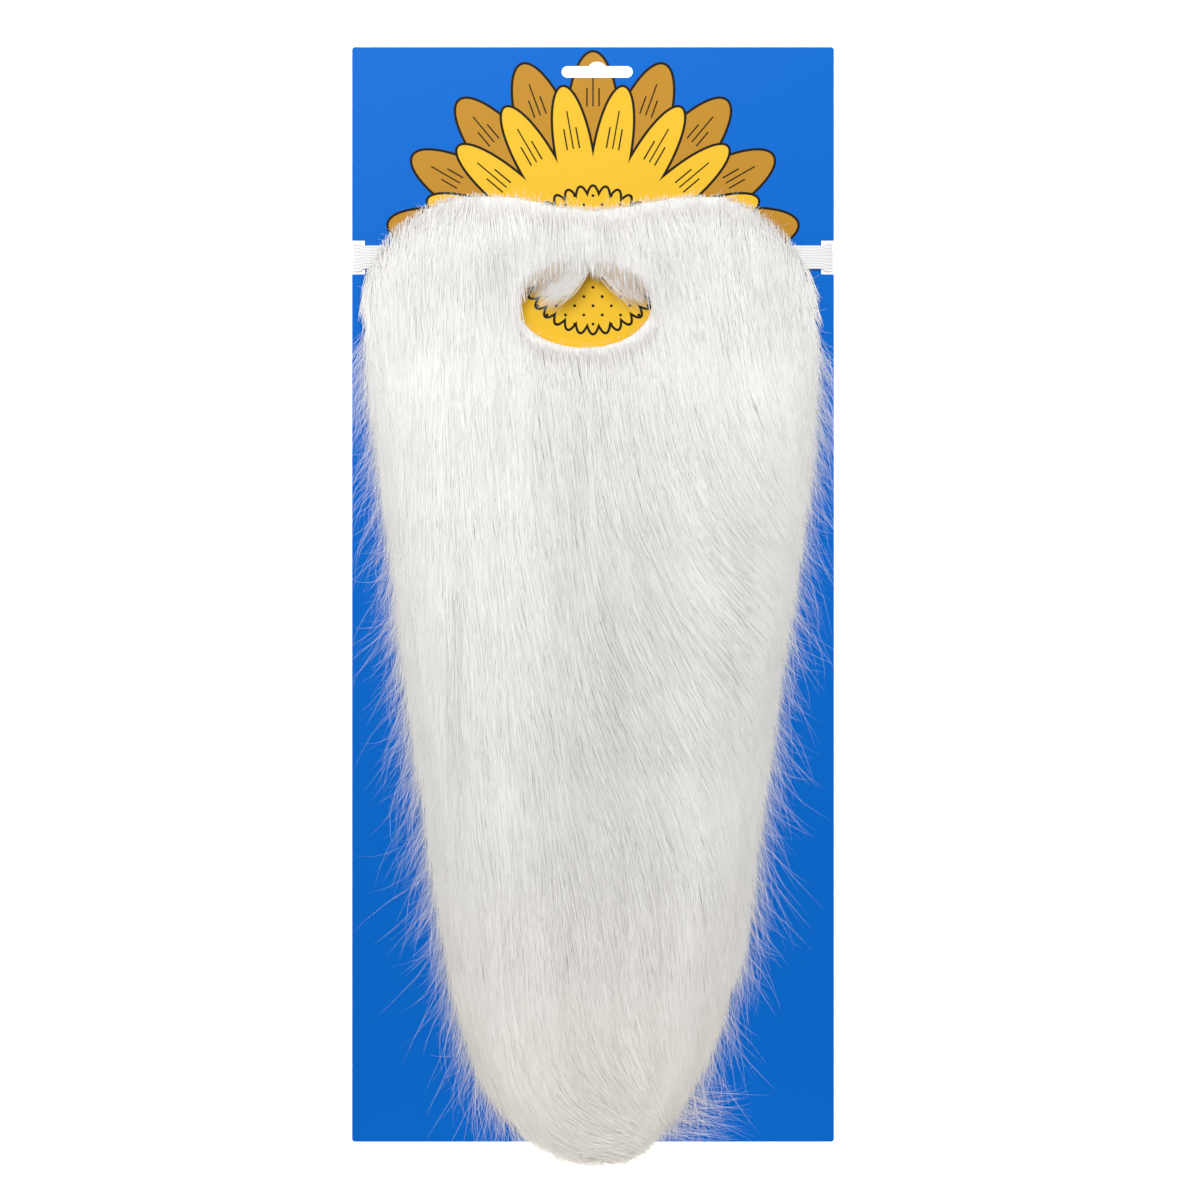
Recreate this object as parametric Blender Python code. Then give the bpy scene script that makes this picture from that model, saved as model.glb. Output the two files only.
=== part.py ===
"""A long white fake beard of deep-pile fur cloth, held on its display card by a flat elastic band.

The card lies on its back. X runs across it, Y towards its top edge, and Z out of its printed front.
The origin is below the middle of the whole, on the surface that it lies on. Units are metres.
"""

import math
import random
from collections import namedtuple

import bmesh
import bpy
from mathutils import Vector

# Display card
CARD_WIDTH = 0.210
CARD_HEIGHT = 0.477
CARD_THICKNESS = 0.0010
CARD_CORNER_RADIUS = 0.0012
NOTCH_DEPTH = 0.0055
NOTCH_PLAY = 0.0022
HANG_SLOT_WIDTH = 0.031
HANG_SLOT_HEIGHT = 0.0050
HANG_SLOT_DROP = 0.0108
HANG_SLOT_OFFSET = 0.0018
HANG_HUMP_RADIUS = 0.0045

# Elastic band
BAND_WIDTH = 0.0102
BAND_THICKNESS = 0.0009
BAND_DROP = 0.0917
BAND_TUCK = 0.0160

# Beard
BEARD_WIDTH = 0.201
BEARD_LENGTH = 0.423
BEARD_DEPTH = 0.0215
BEARD_DROP = 0.0645
BACKING_THICKNESS = 0.0015
LIP_DIP_DEPTH = 0.0066
LIP_DIP_WIDTH = 0.092
LIP_DIP_FADE = 0.068
MOUTH_WIDTH = 0.0585
MOUTH_HEIGHT = 0.0360
MOUTH_DROP = 0.0473
MOUTH_OFFSET = -0.0037

# Locks of the pile
LOCK_LENGTH = 0.072
LOCK_WIDTH = 0.021
LOCK_RISE = 0.0021
LOCK_SINK = 0.0026
LOCK_COVER = 0.0004
CROWN_LOCK_LENGTH = 0.026
CROWN_LOCK_WIDTH = 0.016
RIM_LOCK_LENGTH = 0.051
RIM_LOCK_WIDTH = 0.013
EDGE_LOCK_LENGTH = 0.059
EDGE_LOCK_WIDTH = 0.0105
TIP_LOCK_WIDTH = 0.0118
MOUSTACHE_LOCK_LENGTH = 0.030
MOUSTACHE_LOCK_WIDTH = 0.015
TIP_REACH = 0.0025
COMB_STEP = 0.0016

# How many locks there are
FIELD_TIERS = 8
FIELD_LOCKS = 8
CROWN_LOCKS = 12
RIM_LOCKS = 8
EDGE_LOCKS = 10
TIP_LOCKS = 9

# Clearance between pieces that touch
GAP = 0.0003

# Heights, stacked from the surface upwards
BAND_BACK_Z = BAND_THICKNESS / 2
CARD_BACK_Z = BAND_THICKNESS + GAP
CARD_FRONT_Z = CARD_BACK_Z + CARD_THICKNESS
BAND_FRONT_Z = CARD_FRONT_Z + GAP + BAND_THICKNESS / 2
BACKING_Z = CARD_FRONT_Z + GAP
BACKING_LIFT = BAND_THICKNESS + GAP

NOTCH_HEIGHT = BAND_WIDTH + 2 * NOTCH_PLAY

# Places along Y, worked out from the card's top edge
OVERHANG = BEARD_DROP + BEARD_LENGTH - CARD_HEIGHT
CARD_TOP_Y = (CARD_HEIGHT + OVERHANG) / 2
CARD_BOTTOM_Y = CARD_TOP_Y - CARD_HEIGHT
BAND_Y = CARD_TOP_Y - BAND_DROP
BEARD_TOP_Y = CARD_TOP_Y - BEARD_DROP
MOUTH_Y = BEARD_TOP_Y - MOUTH_DROP

# The beard across its length, as shares: down of BEARD_LENGTH, half and centre of half BEARD_WIDTH,
# depth of BEARD_DEPTH
Section = namedtuple("Section", "down half centre depth")
SECTIONS = (
    Section(0.000, 0.500, -0.005, 0.21),
    Section(0.015, 0.715, -0.025, 0.31),
    Section(0.046, 0.875, -0.020, 0.44),
    Section(0.080, 0.945, -0.022, 0.55),
    Section(0.160, 0.990, -0.013, 0.70),
    Section(0.263, 0.965, 0.000, 0.86),
    Section(0.366, 0.918, 0.004, 0.97),
    Section(0.469, 0.876, 0.008, 1.00),
    Section(0.572, 0.812, 0.002, 1.00),
    Section(0.675, 0.742, -0.004, 0.96),
    Section(0.778, 0.676, 0.003, 0.88),
    Section(0.850, 0.600, 0.007, 0.77),
    Section(0.910, 0.510, 0.006, 0.62),
    Section(0.955, 0.415, 0.022, 0.44),
    Section(0.985, 0.262, 0.044, 0.28),
    Section(1.000, 0.070, 0.065, 0.16),
)

# A lock from its root to its tip, as shares: along of its length, width of its width, rise of LOCK_RISE
Ring = namedtuple("Ring", "along width rise")
LOCK_RINGS = (
    Ring(0.00, 0.45, -0.90),
    Ring(0.20, 0.85, 0.35),
    Ring(0.42, 1.00, 1.00),
    Ring(0.64, 0.86, 1.00),
    Ring(0.84, 0.50, 0.80),
)

# A lock's section, from its sunk left edge round to its left shoulder: side of its half width, rise of
# its height, sunk where it lies below the surface
Corner = namedtuple("Corner", "side rise sunk")
LOCK_SECTION = (
    Corner(-1.00, 0.00, 1),
    Corner(1.00, 0.00, 1),
    Corner(0.86, 0.45, 0),
    Corner(0.00, 1.00, 0),
    Corner(-0.86, 0.45, 0),
)

# How the pile is combed: a lean in degrees from straight down, positive towards +X, round a place and
# over a spread, across as a share of half BEARD_WIDTH and down of BEARD_LENGTH
Sweep = namedtuple("Sweep", "lean across across_spread down down_spread")
COMB_LEAN = 5
COMB_FAN = 4
SWEEPS = (
    Sweep(34, 0.72, 0.62, 0.39, 0.16),
    Sweep(14, 0.25, 0.40, 0.59, 0.14),
    Sweep(55, 0.00, 0.35, 1.00, 0.10),
    Sweep(-30, 0.62, 0.25, 1.00, 0.10),
)

# The tufts that hang over the top of the mouth opening. across is a share of half the opening's width,
# lean the way that the tuft falls, in degrees from straight down
Tuft = namedtuple("Tuft", "across lean length")
MOUSTACHE_TUFTS = (
    Tuft(-0.78, -38, 0.62),
    Tuft(-0.46, -52, 0.80),
    Tuft(-0.08, -62, 1.00),
    Tuft(0.22, 54, 0.96),
    Tuft(0.50, 46, 0.78),
    Tuft(0.78, 30, 0.60),
)

# The form of the pile's mass: its rounding from side to side, and how far it is pressed down round the
# mouth opening
CROWN_POWER = 2.8
CROWN_ROUNDNESS = 0.58
RIM_PRESS = 0.42
RIM_SPREAD = 0.45

# Where the tip begins, down the length, and where the pile turns to follow the sides, across it
TIP_START = 0.85
SIDE_START = 0.62
SIDE_FULL = 0.98

# The steepest slope of the pile that a lock lies along
STEEPEST = 1.2

BODY_ROWS = 34
BODY_COLUMNS = 20
ROW_SPREAD = 0.72
MOUTH_SIDES = 32
BAND_TURN_STEPS = 10
RANDOM_SEED = 7


def clear_scene():
    for found in list(bpy.data.objects):
        bpy.data.objects.remove(found)


def material(name, colour, roughness, metallic=0.0):
    made = bpy.data.materials.new(name)
    made.use_nodes = True
    shader = made.node_tree.nodes["Principled BSDF"]
    shader.inputs["Base Color"].default_value = (*colour, 1.0)
    shader.inputs["Roughness"].default_value = roughness
    shader.inputs["Metallic"].default_value = metallic
    return made


def add_object(name, mesh, finish=None):
    made = bpy.data.objects.new(name, mesh)
    bpy.context.scene.collection.objects.link(made)
    if finish:
        mesh.materials.append(finish)
    return made


def hide_helper(helper):
    helper.hide_render = True
    helper.display_type = "WIRE"


def mesh_from(name, points, faces):
    """A mesh whose faces point out of the closed shape that they make."""
    mesh = bpy.data.meshes.new(name)
    mesh.from_pydata(points, [], faces)
    shape = bmesh.new()
    shape.from_mesh(mesh)
    bmesh.ops.recalc_face_normals(shape, faces=shape.faces)
    shape.to_mesh(mesh)
    shape.free()
    return mesh


def plate(name, outline, low, high):
    """A flat outline in X and Y, extruded from low to high."""
    count = len(outline)
    points = [(x, y, z) for z in (low, high) for x, y in outline]
    walls = [(i, (i + 1) % count, count + (i + 1) % count, count + i) for i in range(count)]
    caps = [tuple(reversed(range(count))), tuple(range(count, 2 * count))]
    return mesh_from(name, points, walls + caps)


def arc(centre_x, centre_y, radius, start, end, steps):
    """Points on an arc, with its angles in degrees."""
    angles = [math.radians(start + (end - start) * i / steps) for i in range(steps + 1)]
    return [(centre_x + radius * math.cos(a), centre_y + radius * math.sin(a)) for a in angles]


def ease(share):
    """A smooth step from 0 to 1."""
    share = min(1.0, max(0.0, share))
    return share * share * (3 - 2 * share)


def clamped(value, limit):
    return min(limit, max(-limit, value))


def bell(x, centre, spread):
    return math.exp(-(((x - centre) / spread) ** 2))


def section_value(column, down):
    """A column of SECTIONS at any share of the length, on a smooth curve through its rows."""
    values = [getattr(section, column) for section in SECTIONS]
    places = [section.down for section in SECTIONS]
    last = len(places) - 1
    down = min(places[-1], max(places[0], down))
    row = max(0, min(last - 1, sum(place <= down for place in places) - 1))

    def slope(i):
        before, after = max(0, i - 1), min(last, i + 1)
        return (values[after] - values[before]) / (places[after] - places[before])

    span = places[row + 1] - places[row]
    t = (down - places[row]) / span
    rise = values[row + 1] - values[row]
    curve = t * t * (3 - 2 * t) * rise
    tangents = span * (slope(row) * t * (1 - t) ** 2 - slope(row + 1) * t * t * (1 - t))
    return values[row] + curve + tangents


def half_width(down):
    return section_value("half", down) * BEARD_WIDTH / 2


def centre_x(down):
    return section_value("centre", down) * BEARD_WIDTH / 2


def lip_dip(x, down):
    """How far the top edge dips between its two humps, fading out below them."""
    across = min(1.0, abs(x) / (LIP_DIP_WIDTH / 2))
    fade = 1 - ease(down * BEARD_LENGTH / LIP_DIP_FADE)
    return LIP_DIP_DEPTH * math.cos(across * math.pi / 2) ** 2 * fade


def mouth_distance(x, y):
    """1 on the rim of the mouth opening, less inside and more outside."""
    return math.hypot((x - MOUTH_OFFSET) / (MOUTH_WIDTH / 2), (y - MOUTH_Y) / (MOUTH_HEIGHT / 2))


def pile_height(across, x, y, down):
    """The depth of the pile over the backing's underside."""
    crown = max(0.0, 1 - abs(across) ** CROWN_POWER) ** CROWN_ROUNDNESS
    full = section_value("depth", down) * BEARD_DEPTH
    pressed = RIM_PRESS * bell(mouth_distance(x, y), 1, RIM_SPREAD)
    return BACKING_THICKNESS + (full - BACKING_THICKNESS) * crown * (1 - pressed)


def band_end(side):
    """Where the elastic band ends under the beard, on the side -1 or 1."""
    down = (BEARD_TOP_Y - BAND_Y) / BEARD_LENGTH
    return centre_x(down) + side * (half_width(down) - BAND_TUCK)


def backing_z(x, y):
    """The height of the backing's underside, which rises over the ends of the elastic band."""
    beside = max(0.0, abs(y - BAND_Y) - BAND_WIDTH)
    inside = max(0.0, min(x - band_end(-1), band_end(1) - x) - BAND_WIDTH)
    return BACKING_Z + BACKING_LIFT * (1 - ease(beside / BAND_WIDTH)) * (1 - ease(inside / (2 * BAND_WIDTH)))


def body_point(across, down):
    """(x, y, underside z, top z) of the beard's body."""
    x = centre_x(down) + across * half_width(down)
    y = BEARD_TOP_Y - down * BEARD_LENGTH - lip_dip(x, down)
    low = backing_z(x, y)
    return x, y, low, low + pile_height(across, x, y, down)


def body_rows():
    """Shares of the length, closer together where the outline turns fastest."""
    waves = [math.cos(math.pi * i / BODY_ROWS) for i in range(BODY_ROWS + 1)]
    return [0.5 - 0.5 * math.copysign(abs(wave) ** ROW_SPREAD, wave) for wave in waves]


def body_columns():
    return [math.sin(math.pi / 2 * (2 * i / BODY_COLUMNS - 1)) for i in range(BODY_COLUMNS + 1)]


def beard_body():
    """The backing and the mass of pile on it, as one closed grid."""
    columns, rows = body_columns(), body_rows()
    wide = len(columns)
    grid = [[body_point(across, down) for across in columns] for down in rows]
    points = [(x, y, top) for row in grid for x, y, low, top in row]
    points += [(x, y, low) for row in grid for x, y, low, top in row]
    under = wide * len(rows)
    faces = []
    for r in range(len(rows) - 1):
        for c in range(wide - 1):
            a, b = r * wide + c, r * wide + c + 1
            faces.append((a, b, b + wide, a + wide))
            faces.append((under + a, under + a + wide, under + b + wide, under + b))
    rim = list(range(wide))
    rim += [r * wide + wide - 1 for r in range(1, len(rows))]
    rim += [(len(rows) - 1) * wide + c for c in reversed(range(wide - 1))]
    rim += [r * wide for r in reversed(range(1, len(rows) - 1))]
    for here, there in zip(rim, rim[1:] + rim[:1]):
        faces.append((here, there, under + there, under + here))
    return mesh_from("beard_fur", points, faces)


def combing(x, y):
    """The lean of the combed pile, in degrees from straight down, positive towards +X."""
    across = x / (BEARD_WIDTH / 2)
    down = (BEARD_TOP_Y - y) / BEARD_LENGTH
    lean = COMB_LEAN + COMB_FAN * across
    for sweep in SWEEPS:
        near = bell(across, sweep.across, sweep.across_spread) * bell(down, sweep.down, sweep.down_spread)
        lean += sweep.lean * near
    return lean


def outline_lean(x, y):
    """The lean of the outline's own sides at this height, and how near to them the point lies."""
    step = 0.01
    down = min(1 - 3 * step, max(0.0, (BEARD_TOP_Y - y) / BEARD_LENGTH))
    side = math.copysign(1, x - centre_x(down))
    here = centre_x(down) + side * half_width(down)
    there = centre_x(down + step) + side * half_width(down + step)
    lean = math.degrees(math.atan((there - here) / (step * BEARD_LENGTH)))
    return lean, abs(x - centre_x(down)) / half_width(down)


def comb_step(x, y, step, outward):
    """The next point along the combed hair. Inside the outline it turns to follow the sides."""
    lean = combing(x, y)
    side_lean, nearness = outline_lean(x, y)
    lean += (side_lean - lean) * ease((nearness - SIDE_START) / (SIDE_FULL - SIDE_START))
    angle = math.radians(lean + outward)
    return x + step * math.sin(angle), y - step * math.cos(angle)


def surface_z(x, y):
    """The height of the pile's surface, which goes on level past the outline."""
    down = min(1.0, max(0.0, (BEARD_TOP_Y - y) / BEARD_LENGTH))
    across = (x - centre_x(down)) / half_width(down)
    return backing_z(x, y) + pile_height(clamped(across, SIDE_FULL), x, y, down)


def perch(x, y):
    """The height of the pile's surface above a point, and its normal there."""
    span = 2 * COMB_STEP
    slope_x = (surface_z(x + span, y) - surface_z(x - span, y)) / (2 * span)
    slope_y = (surface_z(x, y + span) - surface_z(x, y - span)) / (2 * span)
    normal = Vector((-clamped(slope_x, STEEPEST), -clamped(slope_y, STEEPEST), 1))
    return surface_z(x, y), normal.normalized()


def past_tip(x, y):
    """Whether the point is past the rounded outline of the beard's tip."""
    down = (BEARD_TOP_Y - y) / BEARD_LENGTH
    if down < TIP_START:
        return False
    return down > 1 - TIP_REACH / BEARD_LENGTH or abs(x - centre_x(down)) > half_width(down) + TIP_REACH


def comb_path(x, y, length, outward=0.0):
    """Points along the combed hair for a length, or as far as the beard's tip."""
    path = [(x, y)]
    while len(path) * COMB_STEP < length and not past_tip(*path[-1]):
        path.append(comb_step(*path[-1], COMB_STEP, outward))
    return path


def kept_in(point):
    """The point, raised where it would come out through the backing's underside."""
    return Vector((point.x, point.y, max(point.z, backing_z(point.x, point.y) + LOCK_COVER)))


def lock(path, width, rise=LOCK_RISE, sit=perch):
    """(points, faces) of one tapered lock that follows a path, sunk into what it lies on."""
    last = len(path) - 1
    points, faces = [], []
    for ring in LOCK_RINGS:
        at = round(ring.along * last)
        ahead, behind = path[min(last, at + 1)], path[max(0, at - 1)]
        height, normal = sit(*path[at])
        middle = Vector((*path[at], height))
        side = normal.cross(Vector((ahead[0] - behind[0], ahead[1] - behind[1], 0))).normalized()
        for corner in LOCK_SECTION:
            lift = corner.rise * ring.rise * rise - corner.sunk * LOCK_SINK
            points.append(kept_in(middle + side * corner.side * ring.width * width / 2 + normal * lift))
    around = len(LOCK_SECTION)
    for r in range(len(LOCK_RINGS) - 1):
        for c in range(around):
            a, b = r * around + c, r * around + (c + 1) % around
            faces.append((a, b, b + around, a + around))
    height, normal = sit(*path[-1])
    points.append(kept_in(Vector((*path[-1], height)) - normal * LOCK_COVER))
    tip, end = len(points) - 1, (len(LOCK_RINGS) - 1) * around
    faces += [(end + c, end + (c + 1) % around, tip) for c in range(around)]
    faces.append(tuple(range(around)))
    return points, faces


def clears_mouth(path, margin):
    grow = margin / (MOUTH_HEIGHT / 2)
    return all(mouth_distance(x, y) > 1 + grow for x, y in path)


def spot(across, down):
    """A place on the beard, across as a share of its half width there, and down of its length."""
    return centre_x(down) + across * half_width(down), BEARD_TOP_Y - down * BEARD_LENGTH


def field_locks(chance):
    """Staggered tiers of locks over the face of the beard, narrower where the beard is."""
    made = []
    for tier in range(FIELD_TIERS):
        for place in range(FIELD_LOCKS):
            down = 0.040 + 0.112 * tier + chance.uniform(-0.014, 0.014)
            across = -0.86 + 1.72 * (place + 0.5 * (tier % 2)) / (FIELD_LOCKS - 0.5)
            path = comb_path(*spot(across, down), LOCK_LENGTH * chance.uniform(0.9, 1.2))
            narrowed = 0.62 + 0.38 * half_width(down) / (BEARD_WIDTH / 2)
            width = LOCK_WIDTH * narrowed * chance.uniform(0.88, 1.1)
            if clears_mouth(path, width / 2):
                made.append(lock(path, width, LOCK_RISE * chance.uniform(0.8, 1.25)))
    return made


def crown_locks(chance):
    """Short locks along the beard's top edge."""
    made = []
    for place in range(CROWN_LOCKS):
        across = -0.80 + 1.60 * place / (CROWN_LOCKS - 1)
        x, y = spot(across, 0.030 + 0.012 * (place % 2))
        path = comb_path(x, y - lip_dip(x, 0), CROWN_LOCK_LENGTH * chance.uniform(0.8, 1.1))
        if clears_mouth(path, CROWN_LOCK_WIDTH / 4):
            made.append(lock(path, CROWN_LOCK_WIDTH, LOCK_RISE * 0.6))
    return made


def rim_locks(chance):
    """Locks that start at the lower rim of the mouth opening and fan out below it."""
    made = []
    for place in range(RIM_LOCKS):
        turn = math.radians(-172 + 164 * place / (RIM_LOCKS - 1))
        reach = 1.24 + 0.10 * (place % 2)
        x = MOUTH_OFFSET + MOUTH_WIDTH / 2 * reach * math.cos(turn)
        y = MOUTH_Y + MOUTH_HEIGHT / 2 * reach * math.sin(turn)
        path = comb_path(x, y, RIM_LOCK_LENGTH * chance.uniform(0.87, 1.13), 16 * math.cos(turn))
        made.append(lock(path, RIM_LOCK_WIDTH, LOCK_RISE * 0.8))
    return made


def edge_locks(chance):
    """Locks whose tips stand out of the beard's two sides."""
    made = []
    for side in (-1, 1):
        for place in range(EDGE_LOCKS):
            down = 0.20 + 0.64 * place / (EDGE_LOCKS - 1) + chance.uniform(-0.01, 0.01)
            path = comb_path(*spot(side * 0.90, down), EDGE_LOCK_LENGTH, side * chance.uniform(8, 13))
            made.append(lock(path, EDGE_LOCK_WIDTH, LOCK_RISE * 0.8))
    return made


def tip_locks():
    """Locks that end a little past the beard's rounded tip."""
    made = []
    for place in range(TIP_LOCKS):
        across = -0.84 + 1.68 * place / (TIP_LOCKS - 1)
        path = comb_path(*spot(across, 0.83 + 0.05 * (place % 2)), BEARD_LENGTH)
        made.append(lock(path, TIP_LOCK_WIDTH))
    return made


def moustache_lock(tuft):
    """A tuft that is rooted above the mouth opening and hangs over it, turning to its lean."""
    arch = math.sqrt(1 - tuft.across**2) * MOUTH_HEIGHT / 2
    path = [(MOUTH_OFFSET + tuft.across * MOUTH_WIDTH / 2, MOUTH_Y + arch + MOUSTACHE_LOCK_LENGTH / 3)]
    root_z = surface_z(*path[0])
    while len(path) * COMB_STEP < MOUSTACHE_LOCK_LENGTH * tuft.length:
        fallen = len(path) * COMB_STEP / MOUSTACHE_LOCK_LENGTH
        angle = math.radians(tuft.lean * ease(fallen / tuft.length * 1.5))
        x, y = path[-1]
        path.append((x + COMB_STEP * math.sin(angle), y - COMB_STEP * math.cos(angle)))

    def sit(x, y):
        fallen = math.dist((x, y), path[0]) / MOUSTACHE_LOCK_LENGTH
        return root_z - 1.4 * LOCK_RISE * min(1.0, fallen), Vector((0, 0, 1))

    return lock(path, MOUSTACHE_LOCK_WIDTH, LOCK_RISE, sit)


def joined_locks():
    chance = random.Random(RANDOM_SEED)
    points, faces = [], []
    made = field_locks(chance) + crown_locks(chance) + rim_locks(chance) + edge_locks(chance) + tip_locks()
    made += [moustache_lock(tuft) for tuft in MOUSTACHE_TUFTS]
    for lock_points, lock_faces in made:
        start = len(points)
        points += lock_points
        faces += [tuple(start + i for i in face) for face in lock_faces]
    return mesh_from("locks", points, faces)


def mouth_cutter():
    """An oval through the whole beard."""
    outline = [
        (MOUTH_OFFSET + x * MOUTH_WIDTH / 2, MOUTH_Y + y * MOUTH_HEIGHT / 2)
        for x, y in arc(0, 0, 1, 0, 360, MOUTH_SIDES)[:-1]
    ]
    return plate("mouth_cutter", outline, BACKING_Z - BEARD_DEPTH, BACKING_Z + 2 * BEARD_DEPTH)


def boolean(target, helper, operation):
    hide_helper(helper)
    made = target.modifiers.new(helper.name, "BOOLEAN")
    made.object = helper
    made.operation = operation
    made.solver = "EXACT"
    made.use_self = operation == "UNION"


def make_beard():
    finish = material("white_pile", (0.86, 0.86, 0.84), 0.75)
    beard = add_object("beard_fur", beard_body(), finish)
    boolean(beard, add_object("mouth_cutter", mouth_cutter()), "DIFFERENCE")
    boolean(beard, add_object("locks", joined_locks()), "UNION")
    return beard


def card_outline():
    """The card's outline, anticlockwise from its bottom left corner, with a notch in each side."""
    right, left = CARD_WIDTH / 2, -CARD_WIDTH / 2
    radius, turn = CARD_CORNER_RADIUS, 4
    notch_top, notch_bottom = BAND_Y + NOTCH_HEIGHT / 2, BAND_Y - NOTCH_HEIGHT / 2
    return [
        *arc(left + radius, CARD_BOTTOM_Y + radius, radius, 180, 270, turn),
        *arc(right - radius, CARD_BOTTOM_Y + radius, radius, 270, 360, turn),
        (right, notch_bottom),
        (right - NOTCH_DEPTH, notch_bottom),
        (right - NOTCH_DEPTH, notch_top),
        (right, notch_top),
        *arc(right - radius, CARD_TOP_Y - radius, radius, 0, 90, turn),
        *arc(left + radius, CARD_TOP_Y - radius, radius, 90, 180, turn),
        (left, notch_top),
        (left + NOTCH_DEPTH, notch_top),
        (left + NOTCH_DEPTH, notch_bottom),
        (left, notch_bottom),
    ]


def hang_slot_outline():
    """A long round-ended slot with a hump in the middle of its upper side."""
    centre, level = HANG_SLOT_OFFSET, CARD_TOP_Y - HANG_SLOT_DROP
    radius = HANG_SLOT_HEIGHT / 2
    reach = HANG_SLOT_WIDTH / 2 - radius
    rise = math.degrees(math.asin(radius / HANG_HUMP_RADIUS))
    return [
        *arc(centre - reach, level, radius, 90, 270, 8),
        *arc(centre + reach, level, radius, -90, 90, 8),
        *arc(centre, level, HANG_HUMP_RADIUS, rise, 180 - rise, 8),
    ]


def make_card():
    finish = material("blue_card", (0.005, 0.130, 0.560), 0.35)
    card = add_object("display_card", plate("display_card", card_outline(), CARD_BACK_Z, CARD_FRONT_Z), finish)
    cut = plate("hang_slot", hang_slot_outline(), CARD_BACK_Z - CARD_THICKNESS, CARD_FRONT_Z + CARD_THICKNESS)
    boolean(card, add_object("hang_slot", cut), "DIFFERENCE")
    return card


def band_line():
    """The middle of the band in X and Z, from its left end under the beard round the card's back."""
    turn_x = CARD_WIDTH / 2 - NOTCH_DEPTH + GAP
    bulge = CARD_WIDTH / 2 - GAP - BAND_THICKNESS / 2 - turn_x
    middle_z, reach_z = (BAND_FRONT_Z + BAND_BACK_Z) / 2, (BAND_FRONT_Z - BAND_BACK_Z) / 2
    turn = arc(0, 0, 1, 90, -90, BAND_TURN_STEPS)
    left = [(-turn_x - bulge * out, middle_z + reach_z * up) for out, up in turn]
    right = [(-x, z) for x, z in reversed(left)]
    return [(band_end(-1), BAND_FRONT_Z), *left, *right, (band_end(1), BAND_FRONT_Z)]


def make_band():
    """A flat strip swept along its line, with square ends."""
    line = band_line()
    last = len(line) - 1
    points = []
    for i, (x, z) in enumerate(line):
        ahead, behind = line[min(last, i + 1)], line[max(0, i - 1)]
        along = Vector((ahead[0] - behind[0], ahead[1] - behind[1])).normalized()
        out_x, out_z = -along.y * BAND_THICKNESS / 2, along.x * BAND_THICKNESS / 2
        for side, edge in ((1, -1), (1, 1), (-1, 1), (-1, -1)):
            points.append((x + side * out_x, BAND_Y + edge * BAND_WIDTH / 2, z + side * out_z))
    faces = [(0, 1, 2, 3), tuple(4 * last + i for i in (3, 2, 1, 0))]
    for i in range(last):
        for side in range(4):
            a, b = 4 * i + side, 4 * i + (side + 1) % 4
            faces.append((a, a + 4, b + 4, b))
    finish = material("white_elastic", (0.84, 0.84, 0.83), 0.7)
    return add_object("elastic_band", mesh_from("elastic_band", points, faces), finish)


clear_scene()
make_card()
make_band()
make_beard()
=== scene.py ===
"""The looks of a long white fake beard on its printed display card.

The beard's pile is combed strands over a soft underfur, the elastic is woven, and the card is printed board.
X runs across the card, Y towards its top edge, and Z out of its printed front. Units are metres.
"""

import math
from collections import namedtuple

import bpy
import numpy as np
from mathutils import Matrix, Vector
from mathutils.bvhtree import BVHTree


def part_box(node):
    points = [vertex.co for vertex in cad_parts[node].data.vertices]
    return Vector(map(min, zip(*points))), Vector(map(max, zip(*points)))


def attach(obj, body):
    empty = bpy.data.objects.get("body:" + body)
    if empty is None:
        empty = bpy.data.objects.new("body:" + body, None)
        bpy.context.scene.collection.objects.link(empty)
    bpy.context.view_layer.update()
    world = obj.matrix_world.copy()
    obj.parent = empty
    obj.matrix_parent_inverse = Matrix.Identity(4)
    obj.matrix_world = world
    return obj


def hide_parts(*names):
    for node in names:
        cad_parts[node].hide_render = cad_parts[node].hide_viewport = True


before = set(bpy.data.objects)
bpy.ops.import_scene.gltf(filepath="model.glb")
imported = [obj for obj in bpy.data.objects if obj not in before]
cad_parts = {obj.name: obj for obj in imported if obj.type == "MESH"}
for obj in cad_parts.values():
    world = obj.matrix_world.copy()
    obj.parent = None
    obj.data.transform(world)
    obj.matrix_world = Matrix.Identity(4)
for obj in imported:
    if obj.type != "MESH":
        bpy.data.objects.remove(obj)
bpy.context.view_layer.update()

MM = 0.001
PHOTO_PIXEL = 0.4357 * MM
PHOTO_SIZE = 1200

# Sizes that the solids have
BEARD_WIDTH = 0.201
BEARD_LENGTH = 0.423
MOUTH_WIDTH = 0.0585
MOUTH_HEIGHT = 0.0360
MOUTH_DROP = 0.0473
MOUTH_OFFSET = -0.0037
BAND_WIDTH = 0.0102
BAND_THICKNESS = 0.0009
BAND_TUCK = 0.0160
NOTCH_DEPTH = 0.0055
GAP = 0.0003

# The camera, straight over the card
CAMERA_X = 3.05 * MM
CAMERA_Y = 2.8 * MM
CAMERA_LENS = 100
CAMERA_SENSOR = 36

BEARD_LOW, BEARD_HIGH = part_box("beard_fur")
CARD_LOW, CARD_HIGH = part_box("display_card")
BAND_LOW, BAND_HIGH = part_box("elastic_band")
MOUTH_Y = BEARD_HIGH.y - MOUTH_DROP

chance = np.random.default_rng(11)


# Shader maths

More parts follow.
